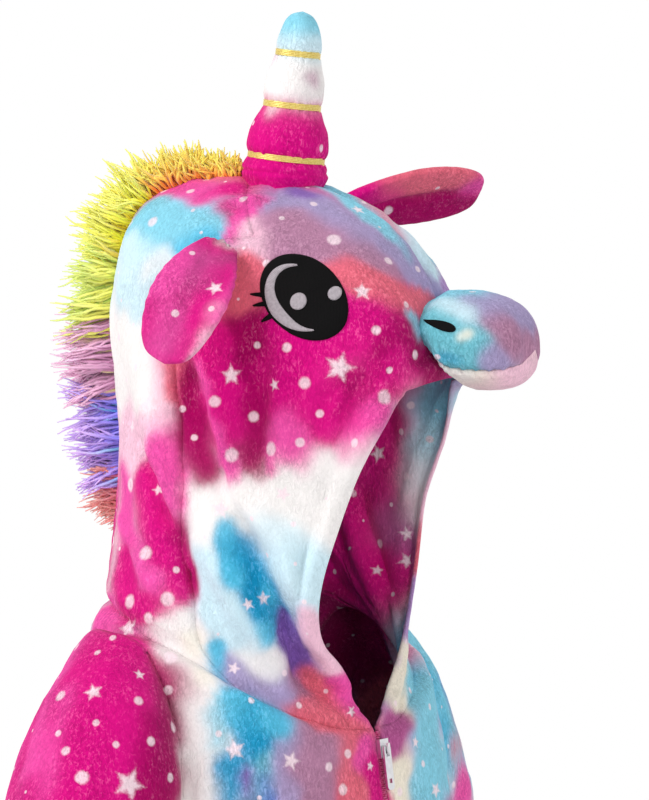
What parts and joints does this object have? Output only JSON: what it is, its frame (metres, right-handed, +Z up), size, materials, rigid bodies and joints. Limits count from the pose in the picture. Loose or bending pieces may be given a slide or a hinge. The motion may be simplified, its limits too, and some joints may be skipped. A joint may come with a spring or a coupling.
{
  "type": "hooded animal onesie for a child",
  "caption": "Worn, hollow hooded fleece onesie for a child, with an animal-face hood, stuffed horn, ears and muzzle, yarn mane and front zip.",
  "frame": {"origin": "the point between the shoulders at the base of the neck, where the wearer holds the garment up", "axes": "+Z up from the hems to the horn, the zip faces -Y, +X is the wearer's left"},
  "size_m": [0.5114, 0.2965, 1.2887],
  "materials": {
    "fleece_pink": "soft",
    "fleece_blue": "soft",
    "fleece_white": "soft",
    "fleece_lilac": "soft",
    "gold_thread": "metallic thread",
    "black_thread": "satin stitch",
    "silver_thread": "satin stitch",
    "yarn_orange": "yarn",
    "yarn_yellow": "yarn",
    "yarn_green": "yarn",
    "yarn_mauve": "yarn",
    "yarn_blue": "yarn",
    "yarn_coral": "yarn",
    "zip_tape": "woven",
    "zip_metal": "satin"
  },
  "bodies": {
    "onesie": {"back_left": "fleece_lilac", "back_right": "fleece_lilac", "ear_left": "fleece_pink", "ear_right": "fleece_pink", "eye_dot_left": "silver_thread", "eye_dot_right": "silver_thread", "eye_left": "black_thread", "eye_right": "black_thread", "eye_shine_left": "silver_thread", "eye_shine_right": "silver_thread", "eye_spark_left": "silver_thread", "eye_spark_right": "silver_thread", "front_left": "fleece_white", "front_right": "fleece_blue", "hood_back_left": "fleece_blue", "hood_back_right": "fleece_blue", "hood_face_left": "fleece_pink", "hood_face_right": "fleece_pink", "horn": "fleece_white", "horn_thread_high": "gold_thread", "horn_thread_low": "gold_thread", "horn_thread_mid": "gold_thread", "mane_blue": "yarn_blue", "mane_coral": "yarn_coral", "mane_green": "yarn_green", "mane_mauve": "yarn_mauve", "mane_orange": "yarn_orange", "mane_yellow": "yarn_yellow", "muzzle_top": "fleece_blue", "muzzle_under": "fleece_white", "nostril_left": "black_thread", "nostril_right": "black_thread", "sleeve_left": "fleece_lilac", "sleeve_right": "fleece_pink", "zip_chain": "zip_tape", "zip_slider": "zip_metal"},
    "zip_pull": {"zip_pull": "zip_metal"}
  },
  "joints": [
    {"name": "zip_pull_hinge", "type": "hinge", "parent": "onesie", "child": "zip_pull", "pos_m": [0, -0.1005, -0.04171], "axis": [-1, 0, 0], "range_deg": [0, 150]}
  ]
}
